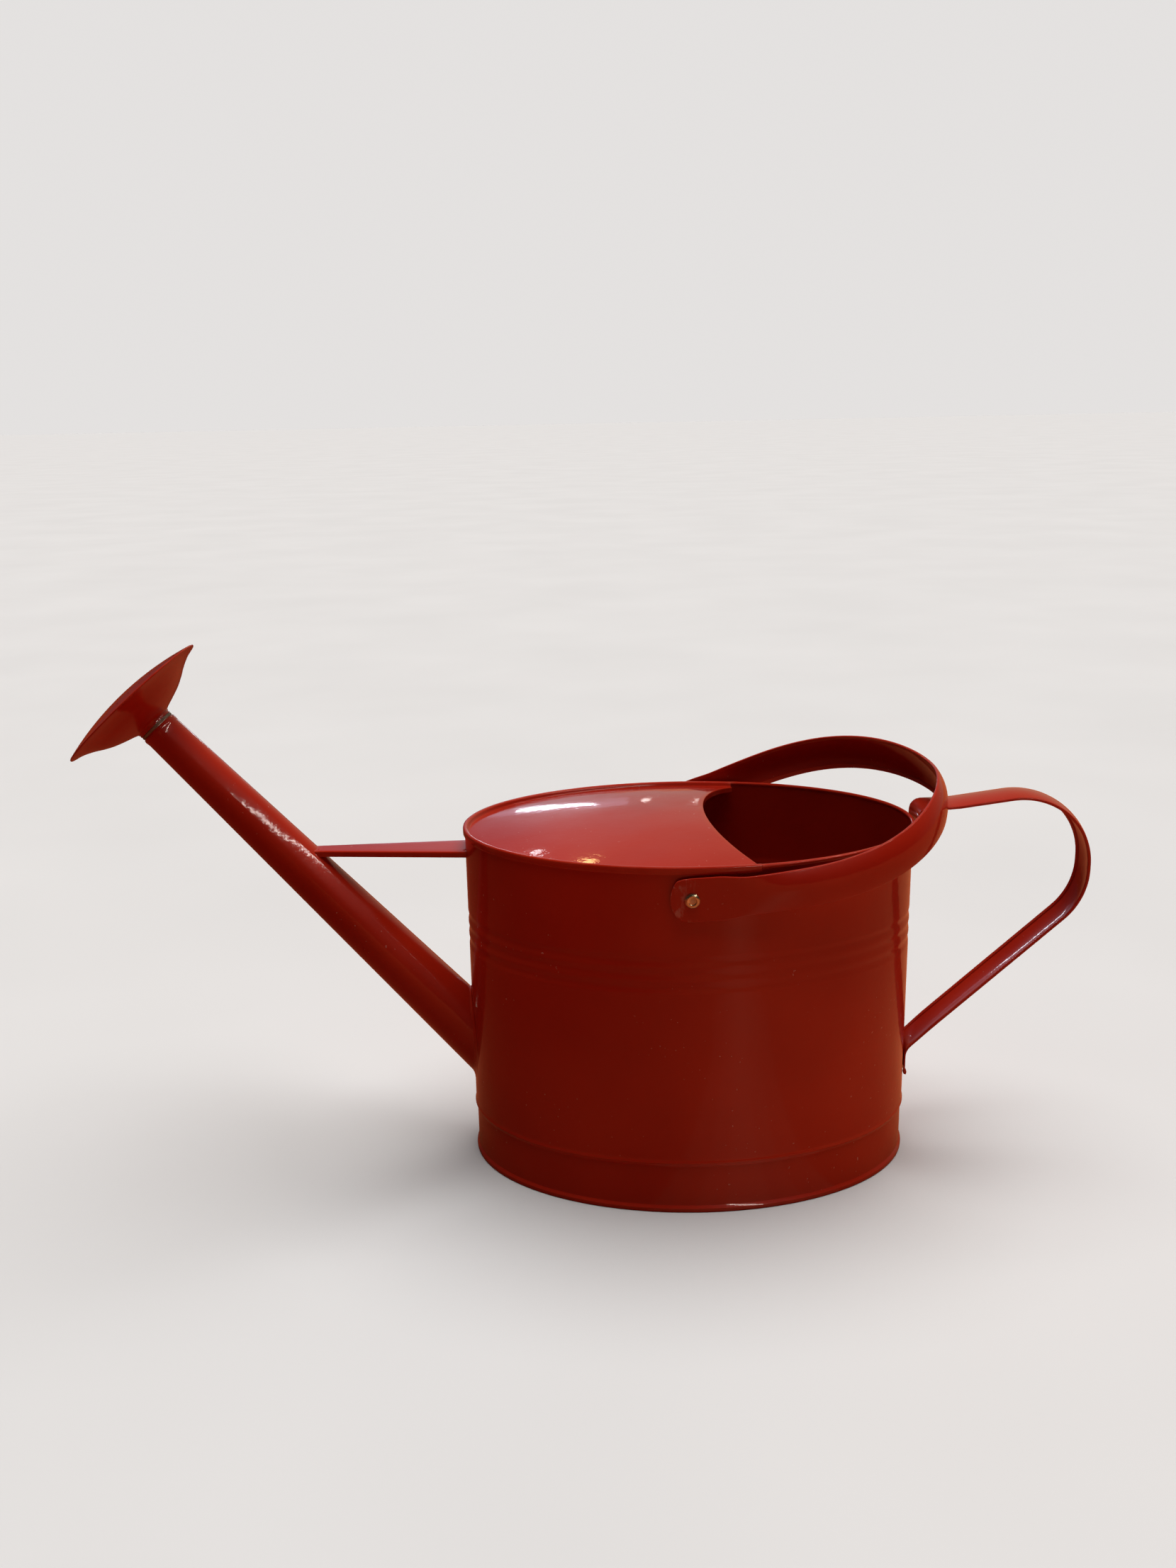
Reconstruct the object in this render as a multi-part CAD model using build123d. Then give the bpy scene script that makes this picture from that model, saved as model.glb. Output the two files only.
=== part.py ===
"""Oval steel watering can with a half cover, a rose on a straight spout, a rear handle and a swinging bail.

Frame: origin at the centre of the oval footprint, +X towards the rear handle, +Z up, millimetres.
"""

import math
import os

from build123d import *

# Driving dimensions
HALF_LENGTH = 140.0  # oval body, outer wall
HALF_WIDTH = 92.7
RIM_TOP = 220.5
SHEET = 0.8
CONTACT = 0.03  # gap left between two pieces that are soldered or seamed together
FAR = 500.0  # beyond the whole can, for half spaces that trim a piece

# Body wall
GROOVE_HEIGHTS = (146.3, 154.6, 162.9)
GROOVE_HALF_HEIGHT = 4.15
GROOVE_DEPTH = 0.9
WALL_TOP = RIM_TOP - 1.2
HEM_HEIGHT = 2.8
HEM_OUT = 1.5
WIRE_SIZE = 0.9
WIRE_INSET = 0.03
BASE_HEM = 0.5
SKIRT_INSET = 0.8
BEAD_HEIGHT = 33.0
BEAD_OUT = 1.2

# Base plate and half cover
BASE_TOP = 31.6
BASE_FLANGE_BOTTOM = 14.0
BASE_BEAD_SIZE = 3.0  # sealing solder between the plate and the wall
BASE_BEAD_TIP = 0.3
COVER_END = 36.0
COVER_EDGE = 217.4
COVER_CROWN = 9.7
COVER_SHARES = (1.0, 0.92, 0.8, 0.66, 0.5, 0.34, 0.16)  # rings of the crown, as shares of the oval
COVER_CUT_RADIUS = 154.0
COVER_CUT_CENTRE = 163.7
SEAM_SKIRT = 4.6
SEAM_OUT = 1.1

# Spout and rose, measured along the spout axis from the wall
SPOUT_ANGLE = 47.76
SPOUT_WALL_HEIGHT = 80.4
SPOUT_LENGTH = 278.0
SPOUT_BASE_RADIUS = 19.1
SPOUT_TIP_RADIUS = 11.6
SPOUT_ROOT = -40.0  # start inside the wall, before the foot is trimmed
SPOUT_OPENING_REACH = 30.0  # each way through the wall
SPOUT_FILLET = 2.0
SPOUT_FILLET_SPREAD = 2.2
SPOUT_FILLET_END = 60.0
FERRULE_RADIUS = 10.72
FERRULE_INSIDE = 8.0
FERRULE_OUTSIDE = 7.0
RUNNING_FIT = 0.08
SEAL_THICKNESS = 1.6
SEAL_RADIUS = 11.4
SEAL_GAP = 0.1
ROSE_NECK_RADIUS = 11.7
ROSE_NECK_LENGTH = 2.6
ROSE_BORE_LENGTH = 3.6
ROSE_SHEET = 1.0
ROSE_FLARE = ((18.5, 4.6), (26.0, 7.4), (32.0, 10.6), (37.5, 14.0), (44.0, 17.2))  # radius, distance
ROSE_RIM_RADIUS = 51.0
ROSE_FACE_INSET = 0.6
ROSE_DEPTH = 20.6
ROSE_CROWN = 7.0
ROSE_HOLE_RADIUS = 0.8
ROSE_RINGS = 5
ROSE_RING_STEP = 8.4

# Spout brace
BRACE_TOP = 206.0
BRACE_REACH = 235.0
BRACE_ROOT = 130.0
BRACE_WIDTH_SPOUT = 12.0
BRACE_WIDTH_BODY = 27.0
BRACE_FLANGE = 3.8
BRACE_SHEET = 1.0
BRACE_TRIM_START = 60.0  # part of the spout that the brace and its solder are trimmed to
WALL_PAD = (-138.0, 8.0)  # X and length of the solder under the brace at the wall
SPOUT_PAD = (-227.0, 14.0)
WALL_PAD_MARGIN = 2.0
SPOUT_PAD_MARGIN = 1.0

# Rear handle: a strap with an arched section, bent in the XZ plane
HANDLE_WIDTH = 25.0
HANDLE_ARCH = 1.8
HANDLE_SHEET = 1.1
HANDLE_TOP_FOOT = (142.9, 200.0)
HANDLE_KNEE = (142.9, 227.5)
HANDLE_SHOULDER = (252.0, 242.5)
HANDLE_BEND = (252.0, 166.5)
HANDLE_HEEL = (141.2, 64.9)
HANDLE_FOOT = (141.2, 50.0)
HANDLE_RADII = (6.0, 46.0, 45.0, 9.0)
HANDLE_SOLDER_HEIGHTS = (207.0, 57.0)
HANDLE_SOLDER_WIDTH = 14.0
HANDLE_SOLDER_HEIGHT = 12.0
HANDLE_SOLDER_DEPTH = 2.0
HANDLE_SOLDER_INSET = 0.4

# Bail: a strap that hangs on two rivets and leans to one side from use
HINGE_X = -3.5
HINGE_Z = 201.2
BAIL_TILT = 14.5
BAIL_REACH = 166.8
BAIL_HALF_SPAN = 94.95
BAIL_REACH_POWER = 2.7
BAIL_SPAN_POWER = 2.2
BAIL_LEAN = 30.6
BAIL_BOW = 3.0  # arms swell outwards past the tabs, which clears the rim
BAIL_WIDTH = 23.0
BAIL_TAB_ENDS = ((-12.5, 13.0), (-10.0, 20.5), (-5.0, 26.0))  # distance past the hinge, width
BAIL_TAB_WIDTH = 26.5
BAIL_TAB_REACH = 22.0
BAIL_ARM_REACH = 62.0
BAIL_ARCH = 2.6
BAIL_SHEET = 1.2
BAIL_STEPS = 40
BAIL_NUDGE = 0.01  # turn between the points that give the strap's direction
BAIL_SECTION_SHARES = (-1, -0.5, 0, 0.5, 1)

# Rivets, each built on +Y and mirrored to -Y
RIVET_RADIUS = 2.4
RIVET_CLEARANCE = 0.06
RIVET_HEAD_RADIUS = 4.5
RIVET_HEAD_INNER = 95.75
RIVET_HEAD_OUTER = 97.15
RIVET_HEAD_BEVEL = 1.2
RIVET_HOLE = (80.0, 110.0)  # reach of the tools that cut the rivets' holes
RIVET_BULB_RADIUS = 3.6
RIVET_BULB_INNER = 88.2
MANDREL_RADIUS = 1.4
MANDREL_KNOB_RADIUS = 2.4
MANDREL_KNOB_HEIGHT = 1.6
MANDREL_KNOB_OVERLAP = 1.0  # how far the stem reaches into the knob
MANDREL_BREAK_DEPTH = 0.3
WASHER_RADIUS = 6.0
WASHER_INNER_FACES = (90.6, 91.6)
SPACER_FACES = (92.75, 93.9)


def oval(z, outset):
    """Ellipse of the body wall, grown by outset, at height z."""
    return Pos(0, 0, z) * Ellipse(HALF_LENGTH + outset, HALF_WIDTH + outset)


def oval_stack(levels):
    """Solid through ovals at (height, outset) levels."""
    return loft([oval(z, outset) for z, outset in levels], ruled=True)


def oval_ring(low, high, inner, outer):
    """Flat-sided oval ring between two heights and two outsets."""
    return oval_stack([(low, outer), (high, outer)]) - oval_stack([(low, inner), (high, inner)])


def front_of(x):
    """Half space with everything in front of the plane at x."""
    return Pos(x - FAR, 0, 0) * Box(2 * FAR, 2 * FAR, 2 * FAR)


def rear_of(x):
    return Pos(x + FAR, 0, 0) * Box(2 * FAR, 2 * FAR, 2 * FAR)


def wall_levels():
    """Heights and outsets of the outer wall, from the bottom hem to the top edge."""
    levels = [(0, BASE_HEM), (3.5, BASE_HEM), (4.6, -SKIRT_INSET), (28.8, -SKIRT_INSET)]
    levels += [(31.4, BEAD_OUT * 0.75), (BEAD_HEIGHT, BEAD_OUT), (34.8, BEAD_OUT * 0.7), (36.6, 0)]
    for height in GROOVE_HEIGHTS:
        levels += [(height - GROOVE_HALF_HEIGHT, 0), (height, -GROOVE_DEPTH)]
    levels += [(GROOVE_HEIGHTS[-1] + GROOVE_HALF_HEIGHT, 0), (WALL_TOP, 0)]
    return levels


def body_outer(grow=0.0):
    """Everything inside the outer wall, used to trim what is soldered to it."""
    return oval_stack([(z, outset + grow) for z, outset in wall_levels()])


def spout_plane(distance=0.0):
    """Plane across the spout axis, at a distance from the wall."""
    slope = math.radians(SPOUT_ANGLE)
    direction = Vector(-math.cos(slope), 0, math.sin(slope))
    start = Vector(-HALF_LENGTH, 0, SPOUT_WALL_HEIGHT)
    return Plane(origin=start + direction * distance, x_dir=(0, 1, 0), z_dir=direction)


def spout_radius(distance):
    share = distance / SPOUT_LENGTH
    return SPOUT_BASE_RADIUS + (SPOUT_TIP_RADIUS - SPOUT_BASE_RADIUS) * share


def spout_cone(start, end, grow=0.0):
    """Solid piece of the spout's cone between two distances from the wall."""
    cone = Cone(
        spout_radius(start) + grow,
        spout_radius(end) + grow,
        end - start,
        align=(Align.CENTER, Align.CENTER, Align.MIN),
    )
    return spout_plane(start) * cone


def tube_on_spout(start, end, inner, outer):
    """Straight tube round the spout axis."""
    bottom = (Align.CENTER, Align.CENTER, Align.MIN)
    length = end - start
    ring = Cylinder(outer, length, align=bottom) - Cylinder(inner, length, align=bottom)
    return spout_plane(start) * ring


def across(radius, low, high):
    """Round bar along +Y through the bail's hinge."""
    bar = Cylinder(radius, high - low, align=(Align.CENTER, Align.CENTER, Align.MIN))
    return Pos(HINGE_X, low, HINGE_Z) * Rot(-90, 0, 0) * bar


def on_both_sides(piece):
    return [piece, mirror(piece, about=Plane.XZ)]


def body_shell():
    """Wall with its bead, grooves, spout opening, rivet holes and wired rear edge."""
    levels = wall_levels()
    shell = oval_stack(levels) - oval_stack([(z, outset - SHEET) for z, outset in levels])
    hem = oval_ring(RIM_TOP - HEM_HEIGHT, RIM_TOP, -SHEET, HEM_OUT)
    wire_low, wire_high = wire_heights()
    hem -= oval_ring(wire_low, wire_high, WIRE_INSET, WIRE_INSET + WIRE_SIZE)
    shell += hem & rear_of(COVER_END)
    shell -= spout_cone(-SPOUT_OPENING_REACH, SPOUT_OPENING_REACH, -SHEET)
    for side in on_both_sides(across(RIVET_RADIUS + CONTACT, *RIVET_HOLE)):
        shell -= side
    return shell


def wire_heights():
    middle = RIM_TOP - HEM_HEIGHT / 2
    return middle - WIRE_SIZE / 2, middle + WIRE_SIZE / 2


def rim_wire():
    """Stiffening wire rolled into the open half of the rim."""
    low, high = wire_heights()
    inner = WIRE_INSET + CONTACT
    outer = WIRE_INSET + WIRE_SIZE - CONTACT
    ring = oval_ring(low + CONTACT, high - CONTACT, inner, outer)
    return ring & rear_of(COVER_END + CONTACT)


def base_plate():
    """Oval plate with a turned-down flange inside the skirt."""
    flange_out = -SKIRT_INSET - SHEET - CONTACT
    pan = oval_stack([(BASE_FLANGE_BOTTOM, flange_out), (BASE_TOP, flange_out)])
    hollow = oval_stack([(BASE_FLANGE_BOTTOM, flange_out - SHEET), (BASE_TOP - SHEET, flange_out - SHEET)])
    return pan - hollow


def base_solder():
    """Sealing bead in the corner between the base plate and the wall."""
    low = BASE_TOP + CONTACT
    wedge_out = -SHEET - CONTACT
    high = low + BASE_BEAD_SIZE
    outer = oval_stack([(low, wedge_out), (high, wedge_out)])
    inner = oval_stack([(low, wedge_out - BASE_BEAD_SIZE), (high, wedge_out - BASE_BEAD_TIP)])
    return outer - inner


def dome(drop):
    """Solid under the cover's crown, lowered by drop."""
    reach = -SHEET - CONTACT - SHEET
    sections = [oval(WALL_TOP - COVER_CROWN - drop, reach)]
    for share in COVER_SHARES:
        height = COVER_EDGE + COVER_CROWN * (1 - share**2) - drop
        ring = Ellipse((HALF_LENGTH + reach) * share, (HALF_WIDTH + reach) * share)
        sections.append(Pos(0, 0, height) * ring)
    return loft(sections, ruled=True)


def front_cover():
    """Crowned half cover with a seam folded over the wall and a concave rear edge."""
    mouth = Pos(COVER_CUT_CENTRE, 0, RIM_TOP) * Cylinder(COVER_CUT_RADIUS, RIM_TOP)
    sheet = dome(0) - dome(SHEET)
    sheet &= oval_stack([(COVER_EDGE - SHEET, 0), (RIM_TOP + COVER_CROWN, 0)])
    sheet -= mouth
    seam = oval_ring(RIM_TOP - SEAM_SKIRT, RIM_TOP, -2 * SHEET - CONTACT, SEAM_OUT)
    seam -= oval_ring(RIM_TOP - 2 * SEAM_SKIRT, WALL_TOP + CONTACT, -SHEET - CONTACT, CONTACT)
    seam &= front_of(COVER_END - CONTACT)
    return sheet + seam


def spout_tube():
    """Tapered tube, trimmed to the wall."""
    tube = spout_cone(SPOUT_ROOT, SPOUT_LENGTH) - spout_cone(SPOUT_ROOT - 1, SPOUT_LENGTH + 1, -SHEET)
    return keep_largest(tube - body_outer(CONTACT))


def spout_solder():
    """Fillet of solder round the foot of the spout."""
    collar = spout_cone(SPOUT_ROOT, SPOUT_FILLET_END, SPOUT_FILLET)
    collar -= spout_cone(SPOUT_ROOT, SPOUT_FILLET_END, CONTACT)
    return collar & (body_outer(SPOUT_FILLET_SPREAD) - body_outer(CONTACT)) & front_of(0)


def spout_ferrule():
    """Bare sleeve in the spout's tip that carries the rose."""
    start = SPOUT_LENGTH - FERRULE_INSIDE
    end = SPOUT_LENGTH + FERRULE_OUTSIDE
    return tube_on_spout(start, end, FERRULE_RADIUS - SHEET, FERRULE_RADIUS)


def rose_seal():
    """Washer squeezed between the spout's tip and the rose's neck."""
    start = SPOUT_LENGTH + SEAL_GAP
    return tube_on_spout(start, start + SEAL_THICKNESS, FERRULE_RADIUS + RUNNING_FIT, SEAL_RADIUS)


def rose_start():
    return SPOUT_LENGTH + SEAL_THICKNESS + 2 * SEAL_GAP


def rose_cone():
    """Neck and flared cone, from the seal to the sharp rim."""
    bore = FERRULE_RADIUS + RUNNING_FIT
    rim = (ROSE_RIM_RADIUS, ROSE_DEPTH - rose_start() + SPOUT_LENGTH)
    flare = [*ROSE_FLARE, rim]
    inside = [(radius, along + ROSE_SHEET) for radius, along in reversed(flare)]
    neck = [(bore, ROSE_BORE_LENGTH), (bore, 0), (ROSE_NECK_RADIUS, 0), (ROSE_NECK_RADIUS, ROSE_NECK_LENGTH)]
    edge = neck + flare + inside
    profile = make_face(Polyline([(radius, 0, along) for radius, along in edge], close=True))
    return spout_plane(rose_start()) * revolve(profile, Axis.Z)


def rose_face():
    """Crowned, perforated face set inside the rim of the cone."""
    seat = ROSE_DEPTH + ROSE_SHEET + CONTACT
    chord = ROSE_RIM_RADIUS - ROSE_FACE_INSET
    ball = (chord**2 + ROSE_CROWN**2) / (2 * ROSE_CROWN)
    cap = Sphere(ball) - Sphere(ball - SHEET)
    cap &= Pos(0, 0, ball - ROSE_CROWN + FAR) * Box(2 * FAR, 2 * FAR, 2 * FAR)
    holes = [Cylinder(ROSE_HOLE_RADIUS, 3 * ball)]
    for ring in range(1, ROSE_RINGS + 1):
        holes += PolarLocations(ring * ROSE_RING_STEP, 6 * ring) * Cylinder(ROSE_HOLE_RADIUS, 3 * ball)
    cap -= holes
    return spout_plane(SPOUT_LENGTH + seat) * Pos(0, 0, ROSE_CROWN - ball) * cap


def brace_plan(inset):
    """Tapered outline of the brace seen from above."""
    spout_half = BRACE_WIDTH_SPOUT / 2 - inset
    body_half = BRACE_WIDTH_BODY / 2 - inset
    corners = [(-BRACE_REACH, -spout_half), (-BRACE_ROOT, -body_half)]
    corners += [(-BRACE_ROOT, body_half), (-BRACE_REACH, spout_half)]
    return make_face(Polyline(corners, close=True))


def spout_brace():
    """Folded channel between the spout and the wall."""
    depth = BRACE_FLANGE
    channel = extrude(Pos(0, 0, BRACE_TOP - depth) * brace_plan(0), depth)
    channel -= extrude(Pos(0, 0, BRACE_TOP - depth) * brace_plan(BRACE_SHEET), depth - BRACE_SHEET)
    trimmed = channel - body_outer(CONTACT) - spout_cone(BRACE_TRIM_START, SPOUT_LENGTH, CONTACT)
    return keep_largest(trimmed)


def keep_largest(shape):
    return max(shape.solids(), key=lambda solid: solid.volume)


def brace_solder():
    """Pads of solder under the two ends of the brace."""
    height = BRACE_FLANGE - BRACE_SHEET - CONTACT
    middle = BRACE_TOP - BRACE_FLANGE + height / 2
    wall_width = BRACE_WIDTH_BODY - 2 * BRACE_SHEET - WALL_PAD_MARGIN
    spout_width = BRACE_WIDTH_SPOUT - 2 * BRACE_SHEET - SPOUT_PAD_MARGIN
    at_wall = Pos(WALL_PAD[0], 0, middle) * Box(WALL_PAD[1], wall_width, height)
    at_spout = Pos(SPOUT_PAD[0], 0, middle) * Box(SPOUT_PAD[1], spout_width, height)
    at_wall -= body_outer(CONTACT)
    at_spout -= spout_cone(BRACE_TRIM_START, SPOUT_LENGTH, CONTACT)
    return [keep_largest(at_wall), keep_largest(at_spout)]


def arched_section(width, arch, thickness):
    """Strap section in the XY plane: X across the strap, +Y the convex side."""
    half = width / 2
    top, low = thickness / 2, -thickness / 2
    outer = ThreePointArc((-half, top - arch), (0, top), (half, top - arch))
    inner = ThreePointArc((half, low - arch), (0, low), (-half, low - arch))
    ends = [Line(outer @ 1, inner @ 0), Line(inner @ 1, outer @ 0)]
    return make_face([outer, ends[0], inner, ends[1]])


def rear_handle():
    """Strap bent from the upper foot, over the shoulder and down to the lower foot."""
    route = (HANDLE_TOP_FOOT, HANDLE_KNEE, HANDLE_SHOULDER, HANDLE_BEND, HANDLE_HEEL, HANDLE_FOOT)
    points = [(x, 0, z) for x, z in route]
    path = FilletPolyline(points, radius=HANDLE_RADII)
    start = Plane(origin=points[0], x_dir=(0, 1, 0), z_dir=(0, 0, 1))
    section = start * arched_section(HANDLE_WIDTH, HANDLE_ARCH, HANDLE_SHEET)
    return sweep(section, path=path)


def handle_solder():
    """Solder between the two feet of the rear handle and the wall."""
    strap = rear_handle()
    lump = Box(HANDLE_SOLDER_DEPTH, HANDLE_SOLDER_WIDTH, HANDLE_SOLDER_HEIGHT)
    pads = []
    for height in HANDLE_SOLDER_HEIGHTS:
        block = Pos(HANDLE_FOOT[0] - HANDLE_SOLDER_INSET, 0, height) * lump
        pads.append(keep_largest(block - body_outer(CONTACT) - strap))
    return pads


def bail_point(turn):
    """Point on the strap's middle line; turn runs from 0 at -Y to pi at +Y."""
    reach_share = abs(math.sin(turn)) ** (2 / BAIL_REACH_POWER)
    side = -math.copysign(abs(math.cos(turn)) ** (2 / BAIL_SPAN_POWER), math.cos(turn))
    along = BAIL_REACH * reach_share
    lift = BAIL_LEAN * side * abs(side) * reach_share
    tilt = math.radians(BAIL_TILT)
    x = HINGE_X + along * math.cos(tilt) - lift * math.sin(tilt)
    z = HINGE_Z + along * math.sin(tilt) + lift * math.cos(tilt)
    bow = BAIL_BOW * math.sin(math.pi * reach_share)
    return Vector(x, (BAIL_HALF_SPAN + bow) * side, z)


def bail_plane(turn, shift=0.0):
    """Plane across the strap: X across its width, Y out of the loop."""
    behind = bail_point(max(turn - BAIL_NUDGE, 0))
    ahead = bail_point(min(turn + BAIL_NUDGE, math.pi))
    along = (ahead - behind).normalized()
    tilt = math.radians(BAIL_TILT)
    out = along.cross(Vector(-math.sin(tilt), 0, math.cos(tilt))).normalized()
    across_strap = out.cross(along)
    return Plane(origin=bail_point(turn) + along * shift, x_dir=across_strap, z_dir=along)


def smooth_share(value, low, high):
    share = min(max((value - low) / (high - low), 0), 1)
    return share * share * (3 - 2 * share)


def bail_section(plane, width, arch):
    """Strap section, arched outwards as a parabola."""
    outer = [(share * width / 2, BAIL_SHEET / 2 - arch * share**2) for share in BAIL_SECTION_SHARES]
    inner = [(x, y - BAIL_SHEET) for x, y in reversed(outer)]
    return plane * make_face(Polyline(outer + inner, close=True))


def bail():
    """Carrying strap with a flat riveted tab at each end."""
    sections = []
    for shift, width in BAIL_TAB_ENDS:
        sections.append(bail_section(bail_plane(0, shift), width, 0))
    for step in range(BAIL_STEPS + 1):
        turn = math.pi * step / BAIL_STEPS
        reach = BAIL_REACH * abs(math.sin(turn)) ** (2 / BAIL_REACH_POWER)
        narrowing = smooth_share(reach, BAIL_TAB_REACH, BAIL_ARM_REACH)
        width = BAIL_TAB_WIDTH + (BAIL_WIDTH - BAIL_TAB_WIDTH) * narrowing
        sections.append(bail_section(bail_plane(turn), width, BAIL_ARCH * narrowing))
    for shift, width in reversed(BAIL_TAB_ENDS):
        sections.append(bail_section(bail_plane(math.pi, -shift), width, 0))
    strap = loft(sections, ruled=True)
    for hole in on_both_sides(across(RIVET_RADIUS + RIVET_CLEARANCE, *RIVET_HOLE)):
        strap -= hole
    return strap


def bail_rivets():
    """Blind rivets: head outside the tab, shank through the wall, bulb inside."""
    rivet = across(RIVET_RADIUS, RIVET_BULB_INNER, RIVET_HEAD_INNER)
    rivet += across(RIVET_BULB_RADIUS, RIVET_BULB_INNER, WASHER_INNER_FACES[0] - CONTACT)
    middle = (RIVET_HEAD_INNER + RIVET_HEAD_OUTER) / 2
    rivet += across(RIVET_HEAD_RADIUS, RIVET_HEAD_INNER, middle)
    crown = Cone(RIVET_HEAD_RADIUS, RIVET_HEAD_RADIUS - RIVET_HEAD_BEVEL, RIVET_HEAD_OUTER - middle)
    rivet += Pos(HINGE_X, (middle + RIVET_HEAD_OUTER) / 2, HINGE_Z) * Rot(-90, 0, 0) * crown
    rivet -= across(MANDREL_RADIUS + CONTACT, *RIVET_HOLE)
    return on_both_sides(rivet)


def rivet_mandrels():
    """Broken-off mandrels left in the blind rivets."""
    stem_start = RIVET_BULB_INNER - MANDREL_KNOB_OVERLAP
    stem = across(MANDREL_RADIUS, stem_start, RIVET_HEAD_OUTER - MANDREL_BREAK_DEPTH)
    knob = across(MANDREL_KNOB_RADIUS, RIVET_BULB_INNER - MANDREL_KNOB_HEIGHT, RIVET_BULB_INNER - CONTACT)
    return on_both_sides(stem + knob)


def washer(faces):
    ring = across(WASHER_RADIUS, *faces) - across(RIVET_RADIUS + RIVET_CLEARANCE, *RIVET_HOLE)
    return on_both_sides(ring)


def inner_washers():
    """Washers that spread the rivets' bulbs on the inside of the wall."""
    return washer(WASHER_INNER_FACES)


def bail_spacers():
    """Washers that hold the bail's tabs off the wall."""
    return washer(SPACER_FACES)


PIECES = {
    "body_shell": body_shell,
    "rim_wire": rim_wire,
    "base_plate": base_plate,
    "base_solder": base_solder,
    "front_cover": front_cover,
    "spout_tube": spout_tube,
    "spout_solder": spout_solder,
    "spout_ferrule": spout_ferrule,
    "rose_seal": rose_seal,
    "rose_cone": rose_cone,
    "rose_face": rose_face,
    "spout_brace": spout_brace,
    "brace_solder": brace_solder,
    "rear_handle": rear_handle,
    "handle_solder": handle_solder,
    "bail": bail,
    "bail_rivets": bail_rivets,
    "rivet_mandrels": rivet_mandrels,
    "inner_washers": inner_washers,
    "bail_spacers": bail_spacers,
}


def main():
    os.makedirs("parts", exist_ok=True)
    for name, build in PIECES.items():
        made = build()
        solids = made if isinstance(made, list) else [made]
        shape = Compound(children=[s for piece in solids for s in piece.solids()])
        export_step(shape, f"parts/{name}.step")
        print(name, len(shape.solids()), round(shape.volume))


main()
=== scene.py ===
"""Looks of the oval watering can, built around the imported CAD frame.

Metres, with +X to the rear handle and +Z up. Outlines are in millimetres, as in the CAD.
"""

import math

import bmesh
import bpy
from mathutils import Matrix, Vector, noise

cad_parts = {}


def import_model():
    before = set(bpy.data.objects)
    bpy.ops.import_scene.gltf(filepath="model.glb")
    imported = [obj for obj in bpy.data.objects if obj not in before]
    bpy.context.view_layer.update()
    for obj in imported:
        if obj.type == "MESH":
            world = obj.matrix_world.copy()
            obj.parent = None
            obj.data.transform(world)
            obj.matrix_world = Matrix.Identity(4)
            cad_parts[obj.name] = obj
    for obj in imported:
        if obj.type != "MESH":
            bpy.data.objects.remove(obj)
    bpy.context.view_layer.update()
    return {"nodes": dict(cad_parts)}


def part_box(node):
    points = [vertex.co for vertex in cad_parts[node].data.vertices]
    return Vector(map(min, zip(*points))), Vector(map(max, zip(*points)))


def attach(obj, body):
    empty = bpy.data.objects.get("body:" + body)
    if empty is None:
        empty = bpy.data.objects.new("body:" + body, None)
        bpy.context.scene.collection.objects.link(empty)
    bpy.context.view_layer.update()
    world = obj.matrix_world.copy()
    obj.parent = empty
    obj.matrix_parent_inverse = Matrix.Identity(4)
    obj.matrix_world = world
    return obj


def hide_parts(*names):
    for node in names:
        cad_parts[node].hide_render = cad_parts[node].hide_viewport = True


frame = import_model()

MM = 0.001

# Body, as in the CAD
HALF_LENGTH = 140 * MM
HALF_WIDTH = 92.7 * MM
SHEET = 0.8 * MM
RIM_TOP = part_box("body_shell")[1].z
WALL_TOP = RIM_TOP - 1.2 * MM
TURNS = 320  # steps round the oval
SKIRT_INSET = 0.8 * MM
BEAD_HEIGHT = 33 * MM
SKIRT_STEP = (BEAD_HEIGHT - 1 * MM, BEAD_HEIGHT + 3 * MM)  # where the skirt's inset runs out
BEAD_OUT = 1.2 * MM
BEAD_SPREAD = 1.5 * MM
GROOVE_HEIGHTS = (146.3 * MM, 154.6 * MM, 162.9 * MM)
GROOVE_STEP = 8.3 * MM
GROOVE_DEPTH = 0.45 * MM
HEM_RADIUS = 1.35 * MM
HEM_OUT = 0.15 * MM
HEM_STEPS = 160
HEM_CORNERS = 20
BASE_HEM = (
    (-1.6, 1.0), (-1.3, 0.25), (-0.6, 0.0), (0.1, 0.2), (0.42, 0.8), (0.5, 1.8), (0.4, 2.8), (-0.1, 3.4),
)  # (outset, height)
SPOUT_BORE = (-30 * MM, 20 * MM)  # run of the opening along the spout's axis

# Half cover
COVER_END = 36 * MM
COVER_EDGE = 217.4 * MM
COVER_CROWN = 9.7 * MM
COVER_CUT_RADIUS = 154 * MM
COVER_CUT_CENTRE = 163.7 * MM
COVER_STEPS = 200
COVER_STEPS_ACROSS = 40
COVER_SPACING = 0.9  # below 1, the steps across are closer at the mouth
SEAM = (
    (0.15, -4.6), (0.8, -4.5), (1.1, -3.9), (1.1, -1.1), (0.9, -0.45), (0.35, -0.05),
    (-0.4, 0), (-1.2, -0.15), (-1.75, -0.6), (-2.0, -1.4), (-2.25, -2.4), (-2.8, -2.95),
)  # (outset, height from the rim's top)
SEAM_END = -3.2 * MM
LIP = (
    (0.35, -0.12), (0.55, -0.45), (0.6, -1.0), (0.45, -3.5), (-0.1, -3.5), (-0.25, -1.2),
)  # (out, height)
COVER_CLASP = ((-0.9, -3.0), (-0.85, 0.2), (0.05, 0.2))  # (outset, height from the wall's top)

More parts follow.
